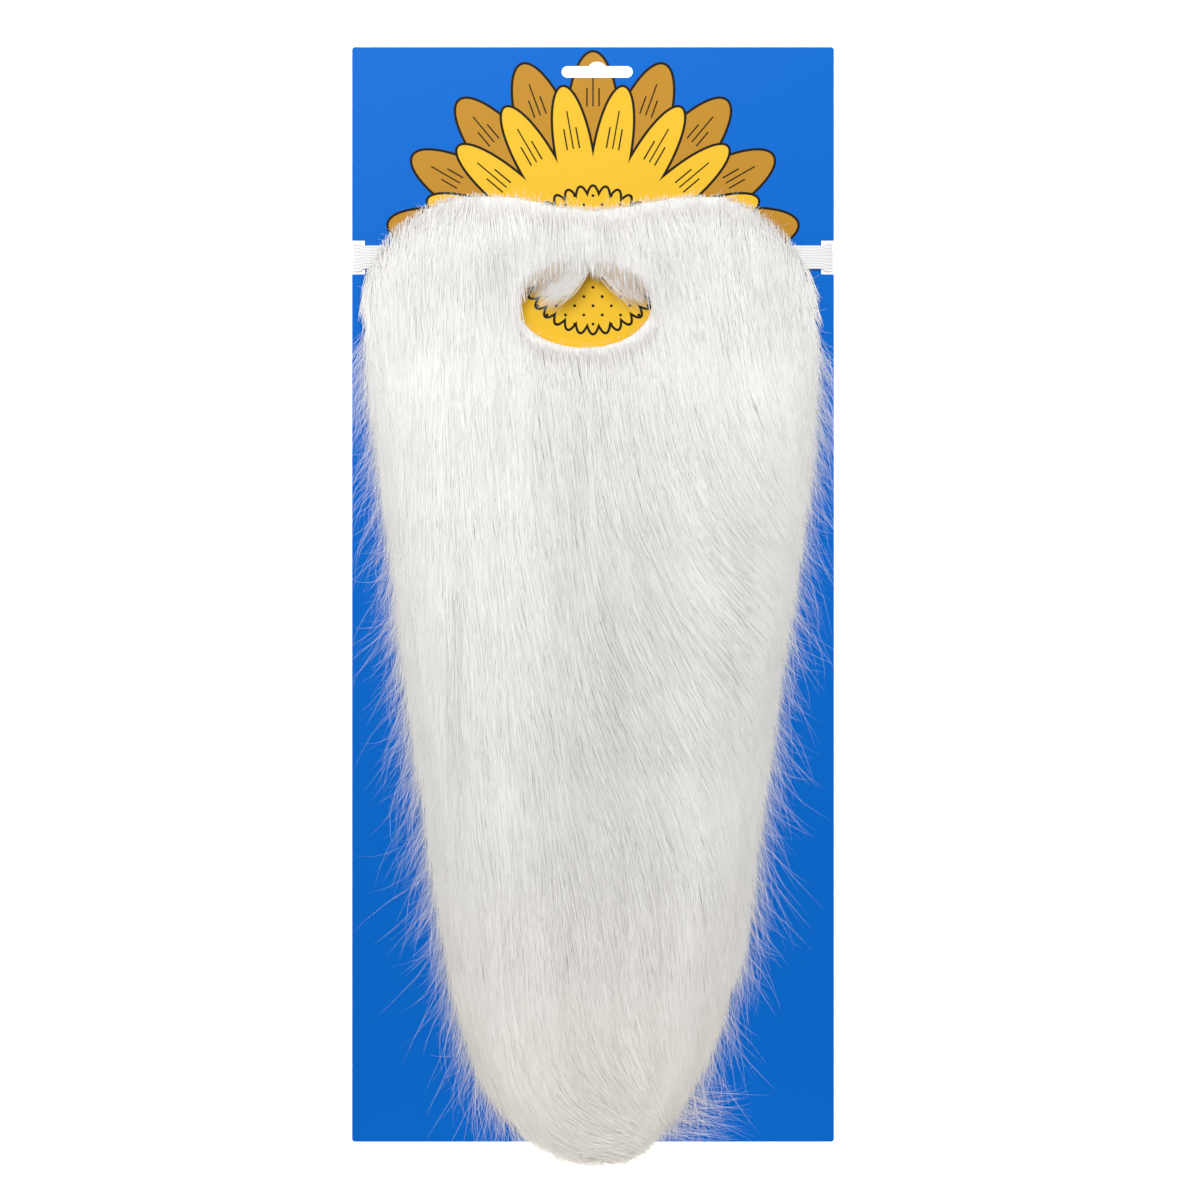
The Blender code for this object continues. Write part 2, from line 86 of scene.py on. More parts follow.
class Wire:
    """A socket of a material's nodes. Its operators add Math nodes."""

    def __init__(self, finish, socket):
        self.finish = finish
        self.socket = socket

    def maths(self, operation, *others):
        sockets = dict(enumerate((self, *others)))
        return self.finish.node("ShaderNodeMath", {"operation": operation}, sockets)

    def __add__(self, other):
        return self.maths("ADD", other)

    def __mul__(self, other):
        return self.maths("MULTIPLY", other)

    def __sub__(self, other):
        return self.maths("SUBTRACT", other)

    def __rsub__(self, other):
        return self.finish.node("ShaderNodeMath", {"operation": "SUBTRACT"}, {0: other, 1: self})

    def __truediv__(self, other):
        return self.maths("DIVIDE", other)

    def __pow__(self, other):
        return self.maths("POWER", other)

    def __abs__(self):
        return self.maths("ABSOLUTE")

    def __gt__(self, other):
        return self.maths("GREATER_THAN", other)

    def __lt__(self, other):
        return self.maths("LESS_THAN", other)

    def ramp(self, low, high):
        """0 at low, 1 at high, smooth between them."""
        settings = {"interpolation_type": "SMOOTHSTEP"}
        return self.finish.node("ShaderNodeMapRange", settings, {0: self, 1: low, 2: high, 3: 0.0, 4: 1.0})


class Finish:
    """A material that is being made."""

    def __init__(self, name, **constants):
        self.material = bpy.data.materials.new(name)
        self.material.use_nodes = True
        self.tree = self.material.node_tree
        self.shader = self.tree.nodes["Principled BSDF"]
        for socket, value in constants.items():
            self.shader.inputs[socket.replace("_", " ")].default_value = value

    def node(self, kind, settings=None, sockets=None, output=0):
        """Adds a node, sets it and links it, and gives one of its outputs."""
        made = self.tree.nodes.new(kind)
        for name, value in (settings or {}).items():
            setattr(made, name, value)
        for name, value in (sockets or {}).items():
            self.plug(made.inputs[name], value)
        return Wire(self, made.outputs[output])

    def plug(self, socket, value):
        if isinstance(value, Wire):
            self.tree.links.new(value.socket, socket)
        elif isinstance(value, tuple) and len(value) == 3 and socket.type == "RGBA":
            socket.default_value = (*value, 1.0)
        else:
            socket.default_value = value

    def set(self, socket, value):
        self.plug(self.shader.inputs[socket], value)

    def place(self):
        """The X, Y and Z of the point on the object, in metres."""
        point = self.node("ShaderNodeTexCoord", output="Object")
        parts = self.node("ShaderNodeSeparateXYZ", sockets={0: point}).socket.node
        return [Wire(self, parts.outputs[i]) for i in range(3)]

    def point(self, x, y, z):
        return self.node("ShaderNodeCombineXYZ", sockets={0: x, 1: y, 2: z})

    def noise(self, point, scale, detail=2.0, roughness=0.5):
        sockets = {"Vector": point, "Scale": scale, "Detail": detail, "Roughness": roughness}
        return self.node("ShaderNodeTexNoise", sockets=sockets, output="Fac")

    def mix(self, share, first, second):
        """A colour between two colours."""
        sockets = {"Factor": share, 6: first, 7: second}
        return self.node("ShaderNodeMix", {"data_type": "RGBA"}, sockets, output=2)

    def attribute(self, name):
        return self.node("ShaderNodeAttribute", {"attribute_name": name}, output="Fac")

    def bump(self, height, distance, strength=1.0):
        sockets = {"Strength": strength, "Distance": distance, "Height": height}
        self.set("Normal", self.node("ShaderNodeBump", sockets=sockets))


def srgb(red, green, blue):
    """A colour given as its screen values from 0 to 255."""
    shares = [value / 255 for value in (red, green, blue)]
    return tuple(s / 12.92 if s <= 0.04045 else ((s + 0.055) / 1.055) ** 2.4 for s in shares)


# The fur's materials

PILE_DARK = srgb(212, 210, 206)
PILE_LIGHT = srgb(254, 253, 251)
# Painted shade at the strands' roots, grey for the pile and tan for the moustache, where the hairs shade each
# other
PILE_ROOTS_PAINTED_SHADE = srgb(230, 228, 224)
MOUSTACHE_ROOTS_PAINTED_SHADE = srgb(226, 216, 202)
PILE_TIP_TINT = srgb(248, 240, 228)
# Painted warm shade: the colour the hair round the mouth opening gets in place of shadow and of light bounced
# off the yellow print
PAINTED_WARM_SHADE = srgb(204, 170, 126)
# Where along Y the tint of the beard's tip starts and is full, and how strong it is there
TINT_START = -0.08
TINT_FULL = -0.24
TINT_SHARE = 0.45
# The ring round the mouth opening where the hair gets painted warm shade, in place of shadow and of light
# bounced off the yellow print, from its inner start to its outer end, as shares of half the opening's size
RING_START = 0.55
RING_FULL = 0.80
RING_FADE = 0.92
RING_END = 1.08
RING_UP = 0.4
# Streaks that break up the painted warm shade, and the painted warm shade's strength
STREAKS_ACROSS = 1100
STREAKS_DOWN = 90
STREAK_STRENGTH = 0.8
PAINTED_WARM_STRENGTH = 1.4
# The middle of the moustache's white clump and its reach, as shares of half the opening's width
CLUMP_ACROSS = -0.04
CLUMP_END = 0.12
CLUMP_CLEAR = 0.40


def pile_finish(name, roots):
    """Fine white synthetic hair with painted shade at its roots and painted light towards the beard's sides,
    creamier at the beard's tip, and with painted warm shade, in place of shadow and of light bounced off the
    yellow print, round the upper rim of the mouth opening.
    """
    finish = Finish(name, Roughness=0.7, Specular_IOR_Level=0.0)
    # The tone holds each strand's own random tone and the painted light towards the beard's sides
    tone = finish.attribute("tone")
    along = finish.attribute("along")
    colour = finish.mix(tone, PILE_DARK, PILE_LIGHT)
    # Painted shade towards each strand's root
    colour = finish.mix(along.ramp(0.0, 0.6), roots, colour)
    x, y, _ = finish.place()
    low = (y * -1).ramp(-TINT_START, -TINT_FULL)
    colour = finish.mix(low * TINT_SHARE, colour, PILE_TIP_TINT)
    across = (x - MOUTH_OFFSET) * (2 / MOUTH_WIDTH)
    up = (y - MOUTH_Y) * (2 / MOUTH_HEIGHT)
    ring = (across * across + up * up) ** 0.5
    # Painted warm shade in a ring round the opening's upper rim, in streaks, kept off the moustache's white
    # clump
    painted_warm_shade = (ring * -1).ramp(-RING_END, -RING_FADE) * ring.ramp(RING_START, RING_FULL) * up.ramp(0.0, RING_UP)
    streaks = finish.noise(finish.point(x * STREAKS_ACROSS, y * STREAKS_DOWN, 0.0), 1.0, 2.0)
    streaks = streaks.ramp(0.36, 0.64) * STREAK_STRENGTH
    painted_warm_shade = painted_warm_shade * streaks * abs(across - CLUMP_ACROSS).ramp(CLUMP_END, CLUMP_CLEAR)
    finish.set("Base Color", finish.mix(painted_warm_shade * (PAINTED_WARM_STRENGTH - tone), colour, PAINTED_WARM_SHADE))
    return finish.material


def underfur_finish():
    """The dense short hair under the strands, streaked down the beard."""
    finish = Finish("white_underfur", Roughness=0.8, Specular_IOR_Level=0.15)
    x, y, z = finish.place()
    streaks = finish.noise(finish.point(x * 1400, y * 60, z * 400), 1.0, 3.0)
    finish.set("Base Color", finish.mix(streaks.ramp(0.3, 0.7), srgb(222, 220, 216), srgb(244, 243, 240)))
    finish.bump(streaks, 0.4 * MM)
    return finish.material


# The card's print: a large sunflower behind the beard

FLOWER_Y = 0.1510
Petals = namedtuple("Petals", "count inner reach turn")
BACK_PETALS = Petals(18, 66 * MM, 25 * MM, 0.0)
FRONT_PETALS = Petals(18, 48 * MM, 29 * MM, math.pi / 18)
HEART = Petals(36, 29 * MM, 3.5 * MM, 0.0)
INK_LINE = 1.1 * MM
INK_FINE = 0.6 * MM
SEED_STEP = 8.0 * MM
SEED_RADIUS = 0.9 * MM
TICK_ASIDE = 2.6 * MM
# Where a petal's inked lines start and end, as shares of its reach
LINES_START = 0.04
RIB_END = 0.62
TICK_END = 0.36
BLUE = srgb(3, 104, 202)
YELLOW = srgb(238, 190, 50)
OCHRE = srgb(190, 138, 46)
INK = srgb(30, 24, 16)
PRINT_EDGE = 0.12 * MM


def petal_distance(petals, radius, angle):
    """How far a point is outside a ring of petals, and how far it is from a petal's middle line."""
    phase = (angle + petals.turn) * (petals.count / 2)
    lobe = abs(phase.maths("COSINE"))
    side = abs(phase.maths("SINE"))
    slope = side * (petals.reach * petals.count / 2) / radius
    outside = (radius - lobe * petals.reach - petals.inner) / (slope * slope + 1) ** 0.5
    return outside, side * radius * (2 / petals.count)


def line_at(distance, width):
    """1 on a line of this width where the distance is 0."""
    return 1 - abs(distance).ramp(width / 2 - PRINT_EDGE, width / 2 + PRINT_EDGE)


def card_print(finish, x, y):
    """The colour of the card's front."""
    up = y - FLOWER_Y
    radius = (x * x + up * up) ** 0.5 + 0.1 * MM
    angle = finish.node("ShaderNodeMath", {"operation": "ARCTAN2"}, {0: x, 1: up})
    colour = BLUE
    for petals, fill in ((BACK_PETALS, OCHRE), (FRONT_PETALS, YELLOW)):
        outside, aside = petal_distance(petals, radius, angle)
        colour = finish.mix((outside * -1).ramp(-PRINT_EDGE, PRINT_EDGE), colour, fill)
        climb = (radius - petals.inner) / petals.reach
        rib = line_at(aside, INK_FINE) * (climb < RIB_END)
        ticks = line_at(aside - TICK_ASIDE, INK_FINE) * (climb < TICK_END)
        ribs = (rib + ticks) * (climb > LINES_START) * (outside < 0)
        ink = line_at(outside, INK_LINE).maths("MAXIMUM", ribs)
        colour = finish.mix(ink, colour, INK)
    outside, aside = petal_distance(HEART, radius, angle)
    heart = (outside * -1).ramp(-PRINT_EDGE, PRINT_EDGE)
    rows = [((x + up * side) * (math.pi / SEED_STEP)).maths("COSINE") for side in (1, -1)]
    seeds = (rows[0] * rows[0] + rows[1] * rows[1]) ** 0.5 * (SEED_STEP / math.pi)
    fill = finish.mix((seeds - SEED_RADIUS).ramp(-PRINT_EDGE, PRINT_EDGE), INK, YELLOW)
    colour = finish.mix(heart, colour, fill)
    return finish.mix(line_at(outside, INK_LINE), colour, INK)


def card_finish():
    """Printed board with a satin face, and bare grey board on its edges and back."""
    finish = Finish("printed_card", Specular_IOR_Level=0.12)
    x, y, z = finish.place()
    grain = finish.noise(finish.point(x, y, z), 900.0, 3.0)
    board = finish.mix(grain, srgb(196, 194, 188), srgb(222, 220, 214))
    normal = finish.node("ShaderNodeNewGeometry", output="Normal")
    printed = finish.node("ShaderNodeSeparateXYZ", sockets={0: normal}, output=2) > 0.5
    finish.set("Base Color", finish.mix(printed, board, card_print(finish, x, y)))
    finish.set("Roughness", 0.75 - printed * 0.35 + grain * 0.05)
    finish.bump(grain, 0.02 * MM)
    return finish.material


THREAD_STEP = 0.7 * MM


def elastic_finish():
    """White woven elastic, with fine cross threads over its lengthways ribs, and painted shade in the grooves
    between the ribs.
    """
    finish = Finish("white_woven_elastic", Roughness=0.7, Specular_IOR_Level=0.25, Sheen_Weight=0.2)
    x, y, z = finish.place()
    threads = (x * (2 * math.pi / THREAD_STEP)).maths("SINE") * 0.5 + 0.5
    fuzz = finish.noise(finish.point(x, y, z), 1500.0, 2.0)
    painted_groove_shade = finish.attribute("painted_groove_shade")
    # Painted shade in the grooves between the ribs, with the cross threads and fuzz
    painted_shade_and_weave = painted_groove_shade * 0.5 + threads * 0.12 + fuzz * 0.2
    finish.set("Base Color", finish.mix(painted_shade_and_weave, srgb(250, 249, 248), srgb(196, 196, 200)))
    finish.bump(threads * 0.6 + fuzz * 0.4, 0.12 * MM)
    return finish.material


def floor_finish():
    finish = Finish("pale_studio_floor", Roughness=0.6, Specular_IOR_Level=0.1, Emission_Strength=0.85)
    x, y, z = finish.place()
    grain = finish.noise(finish.point(x, y, z), 40.0)
    finish.set("Base Color", finish.mix(grain, srgb(248, 248, 248), srgb(254, 254, 254)))
    finish.set("Emission Color", (1.0, 1.0, 1.0))
    return finish.material


# The beard's relief

MAP_STEP = 1.0 * MM
MAP_MARGIN = 14 * MM
DROOP = 2.4 * MM
EDGE_BLUR = 3.0 * MM
CARD_CLEARANCE = 0.35 * MM
SIDE_REACH = 10 * MM
SIDE_STEP = 8 * MM
OUTLINE_CALM = 6
LEAST_HALF_WIDTH = 4 * MM
# How far out the hole is filled, as a share of half the opening's size, and in how many rounds
HOLE_REACH = 1.3
FILL_ROUNDS = 300
# A blurred edge's share times the blur and this is about the distance from the edge
BLUR_REACH = 2.5
# The steepest slope that the shading follows, and the width of the calmer shading round the mouth
# opening as a share of half the opening's size
STEEPEST = 0.15
LEVEL_RIM = 0.45


def blurred(grid, rows_spread, columns_spread):
    """The grid under a soft round brush, with spreads in metres along Y and along X."""
    for axis, spread in ((0, rows_spread), (1, columns_spread)):
        reach = max(1, round(3 * spread / MAP_STEP))
        offsets = np.arange(-reach, reach + 1) * MAP_STEP
        brush = np.exp(-0.5 * (offsets / spread) ** 2)
        brush /= brush.sum()
        wide = [(reach, reach) if axis == a else (0, 0) for a in range(2)]
        padded = np.pad(grid, wide, mode="edge")
        grid = np.apply_along_axis(np.convolve, axis, padded, brush, mode="valid")
    return grid


def ease(share):
    share = np.clip(share, 0, 1)
    return share * share * (3 - 2 * share)


def mouth_distance(x, y):
    """1 on the rim of the mouth opening, less inside and more outside."""
    return np.hypot((x - MOUTH_OFFSET) / (MOUTH_WIDTH / 2), (y - MOUTH_Y) / (MOUTH_HEIGHT / 2))


class Relief:
    """A beard's top surface and outline, read from its mesh onto a grid in X and Y."""

    def __init__(self, made):
        self.x = np.arange(CARD_LOW.x - MAP_MARGIN, CARD_HIGH.x + MAP_MARGIN, MAP_STEP)
        self.y = np.arange(BEARD_LOW.y - MAP_MARGIN, BEARD_HIGH.y + MAP_MARGIN, MAP_STEP)
        surface = BVHTree.FromObject(made, bpy.context.evaluated_depsgraph_get())
        top = np.full((len(self.y), len(self.x)), np.nan)
        for r, y in enumerate(self.y):
            for c, x in enumerate(self.x):
                hit = surface.ray_cast(Vector((x, y, 2 * BEARD_HIGH.z)), Vector((0, 0, -1)))[0]
                if hit:
                    top[r, c] = hit.z
        covered = np.isfinite(top)
        grid_x, grid_y = np.meshgrid(self.x, self.y)
        hole = (mouth_distance(grid_x, grid_y) < HOLE_REACH) & ~covered
        self.inside = (covered | hole).astype(float)
        columns = np.arange(len(self.x))
        left = np.where(covered, columns, len(self.x)).min(axis=1)
        right = np.where(covered, columns, -1).max(axis=1)
        first, last = np.flatnonzero(covered.any(axis=1))[[0, -1]]
        rows = np.clip(np.arange(len(self.y)), first, last)
        self.left = self.smooth_line(self.x[left[rows]], OUTLINE_CALM)
        self.right = self.smooth_line(self.x[right[rows]], OUTLINE_CALM)
        self.crest = np.where(covered, grid_y, BEARD_LOW.y).max(axis=0)
        ground = CARD_HIGH.z + CARD_CLEARANCE
        filled = self.fill(top, hole)
        filled = np.where(np.isfinite(filled), filled, ground)
        self.top = np.maximum(blurred(filled, DROOP, DROOP), ground)
        self.slope_y, self.slope_x = np.gradient(self.top, MAP_STEP)
        self.outside = (0.5 - blurred(self.inside, EDGE_BLUR, EDGE_BLUR)) * BLUR_REACH * EDGE_BLUR

    def smooth_line(self, line, reach):
        padded = np.pad(line, reach, mode="edge")
        return np.convolve(padded, np.full(2 * reach + 1, 1 / (2 * reach + 1)), mode="valid")

    def fill(self, top, hole):
        """Spans the hole with a surface that sags between its rims."""
        filled = np.where(hole, np.nanmean(top), top)
        for _ in range(FILL_ROUNDS):
            around = [np.roll(filled, shift, axis) for shift in (-1, 1) for axis in (0, 1)]
            filled = np.where(hole, np.nanmean(around, axis=0), filled)
        return filled

    def read(self, grid, x, y):
        """The grid's values at places that lie between its points."""
        column = np.clip((x - self.x[0]) / MAP_STEP, 0, len(self.x) - 1.001)
        row = np.clip((y - self.y[0]) / MAP_STEP, 0, len(self.y) - 1.001)
        c, r = column.astype(int), row.astype(int)
        u, v = column - c, row - r
        low = grid[r, c] * (1 - u) + grid[r, c + 1] * u
        high = grid[r + 1, c] * (1 - u) + grid[r + 1, c + 1] * u
        return low * (1 - v) + high * v

    def side(self, x, y):
        """The outline's X at this height, on the side that x is on."""
        return np.where(x < 0, np.interp(y, self.y, self.left), np.interp(y, self.y, self.right))

    def across(self, x, y):
        """-1 at the left side of the outline and 1 at its right side."""
        left, right = np.interp(y, self.y, self.left), np.interp(y, self.y, self.right)
        return (x - (left + right) / 2) / np.maximum((right - left) / 2, LEAST_HALF_WIDTH)

    def side_nearness(self, x, y):
        """1 at the outline's nearer side, and 0 from SIDE_REACH inwards."""
        return ease(1 - np.abs(self.side(x, y) - x) / SIDE_REACH)

    def side_lean(self, x, y):
        """The lean of the outline's nearer side, in degrees from straight down, positive towards +X."""
        return np.degrees(np.arctan2(self.side(x, y - SIDE_STEP) - self.side(x, y), SIDE_STEP))

    def normal(self, x, y):
        """Which way the surface faces for its shading, level at the rim of the mouth opening."""
        steepest = STEEPEST * ease((mouth_distance(x, y) - 1) / LEVEL_RIM)
        slope_x = np.clip(self.read(self.slope_x, x, y), -steepest, steepest)
        slope_y = np.clip(self.read(self.slope_y, x, y), -steepest, steepest)
        normal = np.stack([-slope_x, -slope_y, np.ones_like(slope_x)], axis=-1)
        return normal / np.linalg.norm(normal, axis=-1, keepdims=True)

    def wave(self, along, wide):
        """A random grid that changes slowly, over these distances down and across the beard."""
        grid = blurred(chance.standard_normal(self.top.shape), along, wide)
        return (grid - grid.mean()) / grid.std()


# The underfur

VOXEL = 2.4 * MM
UNDERFUR_SINK = 0.9 * MM
Inset = namedtuple("Inset", "down left right")
# How many mm the dense fur stays inside the solid's sides, or goes past them where negative
INSETS = (
    Inset(0.00, -2.5, -3.0),
    Inset(0.03, -7.0, -6.5),
    Inset(0.045, -8.8, -8.0),
    Inset(0.07, -6.2, -5.6),
    Inset(0.12, -2.4, -3.0),
    Inset(0.20, 0.6, -0.4),
    Inset(0.30, 3.8, 2.8),
    Inset(0.42, 5.4, 5.5),
    Inset(0.50, 5.4, 7.6),
    Inset(0.58, 5.4, 7.6),
    Inset(0.66, 5.6, 6.0),
    Inset(0.80, 6.2, 6.8),
    Inset(0.89, 3.8, 8.2),
    Inset(0.94, -0.4, 10.2),
    Inset(1.00, 1.0, 6.4),
)
INSET_START = 0.30
INSET_CALM = 24
TOP_RISE = 2.2 * MM
TOP_RISE_START = 20 * MM
TOP_RISE_LENGTH = 24 * MM
# The pile's depth at its top edge, its sides and its mouth opening, as shares of its full depth, and
# how far inwards that full depth is reached, which is a share of half the opening's size at the opening
TOP_DEPTH = 0.50
TOP_SLOPE = 26 * MM
SIDE_DEPTH = 0.48
SIDE_SLOPE = 26 * MM
MOUTH_DEPTH = 0.60
MOUTH_SLOPE = 0.95
# The underfur's scale in X, Y and Z once the strands' surface has been read from it
TUCK = (0.968, 0.995, 0.86)
SOFTENINGS = 5


def underfur(finish):
    """The solid's form, softened and sunk a little, so that no gap between strands shows through."""
    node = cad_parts["beard_fur"]
    solid = Relief(node)
    made = bpy.data.objects.new("soft_underfur", node.data.copy())
    bpy.context.scene.collection.objects.link(made)
    remesh = made.modifiers.new("even", "REMESH")
    remesh.mode = "VOXEL"
    remesh.voxel_size = VOXEL
    smooth = made.modifiers.new("soft", "SMOOTH")
    smooth.iterations = SOFTENINGS
    sink = made.modifiers.new("sunk", "DISPLACE")
    sink.mid_level = 0.0
    sink.strength = -UNDERFUR_SINK
    mesh = bpy.data.meshes.new_from_object(made.evaluated_get(bpy.context.evaluated_depsgraph_get()))
    made.modifiers.clear()
    made.data = mesh
    places = np.empty(3 * len(mesh.vertices), np.float32)
    mesh.vertices.foreach_get("co", places)
    places = places.reshape(-1, 3)
    x, y = places[:, 0].copy(), places[:, 1].copy()
    across = solid.across(x, y)
    down = (BEARD_HIGH.y - y) / BEARD_LENGTH
    downs, lefts, rights = (np.array(column) for column in zip(*INSETS))
    left, right = (np.interp(down, downs, column * MM) for column in (lefts, rights))
    calm = [np.interp(y, solid.y, solid.smooth_line(line, INSET_CALM)) for line in (solid.left, solid.right)]
    shift = np.where(across < 0, calm[0] + left, calm[1] - right) - solid.side(across, y)
    places[:, 0] += shift * ease((np.abs(across) - INSET_START) / (1 - INSET_START))
    edges = (
        (TOP_DEPTH, (np.interp(x, solid.x, solid.crest) - y) / TOP_SLOPE),
        (SIDE_DEPTH, np.abs(solid.side(across, y) - x) / SIDE_SLOPE),
        (MOUTH_DEPTH, (mouth_distance(x, y) - 1) / MOUTH_SLOPE),
    )
    depth = np.min([rim + (1 - rim) * ease(inward) for rim, inward in edges], axis=0)
    places[:, 2] = CARD_HIGH.z + (places[:, 2] - CARD_HIGH.z) * depth
    places[:, 1] += TOP_RISE * ease((y - MOUTH_Y - TOP_RISE_START) / TOP_RISE_LENGTH)
    mesh.vertices.foreach_set("co", places.ravel())
    mesh.materials.clear()
    mesh.materials.append(finish)
    mesh.polygons.foreach_set("use_smooth", np.ones(len(mesh.polygons), bool))
    mesh.update()
    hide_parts("beard_fur")
    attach(made, "root")
    return made


def tuck_in(made):
    """Draws the underfur in below the surface that the strands lie on."""
    made.data.transform(Matrix.Translation((0, 0, CARD_HIGH.z)) @ Matrix.Diagonal((*TUCK, 1)) @
                        Matrix.Translation((0, 0, -CARD_HIGH.z)))


fur_base = underfur(underfur_finish())
relief = Relief(fur_base)
tuck_in(fur_base)


# How the pile is combed

Sweep = namedtuple("Sweep", "lean across across_spread down down_spread")
COMB_LEAN = 5
COMB_FAN = 4
SWEEPS = (
    Sweep(34, 0.72, 0.62, 0.39, 0.16),
    Sweep(14, 0.25, 0.40, 0.59, 0.14),
    Sweep(72, -0.02, 0.36, 1.00, 0.11),
    Sweep(-30, 0.62, 0.25, 1.00, 0.10),
)
# The beard's sides guide the hair from the shoulder's end down to the tip's start, and the guiding fades
# in and out over these shares of the beard's length
SHOULDER_END = 0.08
SHOULDER_FADE = 0.10
TIP_START = 0.90
TIP_FADE = 0.06
MOST_SIDE_LEAN = 40
MOST_INWARD = 6
MOST_OUTWARD = 24

LOCK_WAVES = (
    (3.6, relief.wave(36 * MM, 7 * MM)),
    (2.2, relief.wave(24 * MM, 2.6 * MM)),
)
TONE_WAVES = (
    (0.08, relief.wave(34 * MM, 5 * MM)),
    (0.09, relief.wave(30 * MM, 1.3 * MM)),
)
LIFT_WAVE = relief.wave(24 * MM, 2.2 * MM)


def bell(value, centre, spread):
    return np.exp(-(((value - centre) / spread) ** 2))


def combing(x, y):
    """The lean of the combed pile, in degrees from straight down, positive towards +X."""
    across = x / (BEARD_WIDTH / 2)
    down = (BEARD_HIGH.y - y) / BEARD_LENGTH
    lean = COMB_LEAN + COMB_FAN * across
    for sweep in SWEEPS:
        near = bell(across, sweep.across, sweep.across_spread) * bell(down, sweep.down, sweep.down_spread)
        lean = lean + sweep.lean * near
    side_lean = np.clip(relief.side_lean(x, y), -MOST_SIDE_LEAN, MOST_SIDE_LEAN)
    outward = np.clip((lean - side_lean) * np.sign(x), -MOST_INWARD, MOST_OUTWARD) * np.sign(x)
    nearness = relief.side_nearness(x, y) * ease((down - SHOULDER_END) / SHOULDER_FADE)
    nearness = nearness * (1 - ease((down - TIP_START) / TIP_FADE))
    lean = lean + (side_lean + outward - lean) * nearness
    for amount, wave in LOCK_WAVES:
        lean = lean + amount * relief.read(wave, x, y)
    return lean


def combed_paths(x, y, length, extra, steps):
    """X and Y of strands that follow the combing from these roots, a row for each strand."""
    xs, ys = [x], [y]
    for _ in range(steps):
        angle = np.radians(combing(xs[-1], ys[-1]) + extra)
        xs.append(xs[-1] + length / steps * np.sin(angle))
        ys.append(ys[-1] - length / steps * np.cos(angle))
    return np.stack(xs, axis=1), np.stack(ys, axis=1)


def loose_paths(x, y, length, heading, bend, steps=5):
    """X and Y of hairs that set out at a heading from straight down and bend evenly on their way."""
    xs, ys = [x], [y]
    for i in range(steps):
        angle = np.radians(heading + bend * i / (steps - 1))
        xs.append(xs[-1] + length / steps * np.sin(angle))
        ys.append(ys[-1] - length / steps * np.cos(angle))
    return np.stack(xs, axis=1), np.stack(ys, axis=1)


# Strands

FLAT_SHADING = 0.30
# The shares at a strand's root, a third and two thirds of the way along it, and at its tip
WIDTH_SHARES = (0.6, 1.0, 0.85, 0.0)
SINK_SHARES = (1, 0, 0, 0)
LIFT_SHARES = (0, 0.8, 1.0, 0.4)


def along_strand(rings, values):
    """A value for each ring of a strand, from those at its root, a third, two thirds and its tip."""
    return np.interp(np.linspace(0, 1, rings), (0, 1 / 3, 2 / 3, 1), values)


def strand_mesh(name, points, width, tone, roll, finish):
    """Tapered flat strands in one mesh. points has, for each strand, its line from root to tip."""
    count, rings = points.shape[0], points.shape[1]
    along = np.gradient(points, axis=1)
    along /= np.linalg.norm(along, axis=2, keepdims=True) + 1e-12
    soft = relief.normal(points[:, :, 0], points[:, :, 1])
    side = np.cross(along, soft)
    side /= np.linalg.norm(side, axis=2, keepdims=True) + 1e-12
    over = np.cross(side, along)
    turn = roll[:, None, None]
    side, over = side * np.cos(turn) + over * np.sin(turn), over * np.cos(turn) - side * np.sin(turn)
    shading = soft * (1 - FLAT_SHADING) + over * FLAT_SHADING
    shading /= np.linalg.norm(shading, axis=2, keepdims=True)
    half = width[:, None, None] / 2 * along_strand(rings, WIDTH_SHARES)[None, :, None]
    pairs = np.stack([points - side * half, points + side * half], axis=2)[:, :-1].reshape(count, -1, 3)
    corners = np.concatenate([pairs, points[:, -1:]], axis=1)
    normals = np.concatenate([np.repeat(shading[:, :-1], 2, axis=1), shading[:, -1:]], axis=1)
    per = corners.shape[1]
    quads = [(2 * i, 2 * i + 1, 2 * i + 3, 2 * i + 2) for i in range(rings - 2)]
    pattern = np.array([c for quad in quads for c in quad] + [per - 3, per - 2, per - 1])
    loops = (np.arange(count)[:, None] * per + pattern[None, :]).ravel()
    sizes = np.tile([4] * len(quads) + [3], count)
    starts = np.concatenate([[0], np.cumsum(sizes)[:-1]])
    mesh = bpy.data.meshes.new(name)
    mesh.vertices.add(count * per)
    mesh.vertices.foreach_set("co", corners.astype(np.float32).ravel())
    mesh.loops.add(len(loops))
    mesh.loops.foreach_set("vertex_index", loops.astype(np.int32))
    mesh.polygons.add(len(sizes))
    mesh.polygons.foreach_set("loop_start", starts.astype(np.int32))
    mesh.polygons.foreach_set("use_smooth", np.ones(len(sizes), bool))
    mesh.update(calc_edges=True)
    mesh.normals_split_custom_set_from_vertices(normals.reshape(-1, 3).astype(np.float32))
    shares = np.repeat(np.arange(rings - 1) / (rings - 1), 2).tolist() + [1.0]
    write_attribute(mesh, "along", np.tile(shares, count))
    write_attribute(mesh, "tone", np.repeat(np.clip(tone, 0, 1), per))
    mesh.materials.append(finish)
    made = bpy.data.objects.new(name, mesh)
    bpy.context.scene.collection.objects.link(made)
    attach(made, "root")


def write_attribute(mesh, name, values):
    kept = mesh.attributes.new(name, "FLOAT", "POINT")
    kept.data.foreach_set("value", np.asarray(values, np.float32))


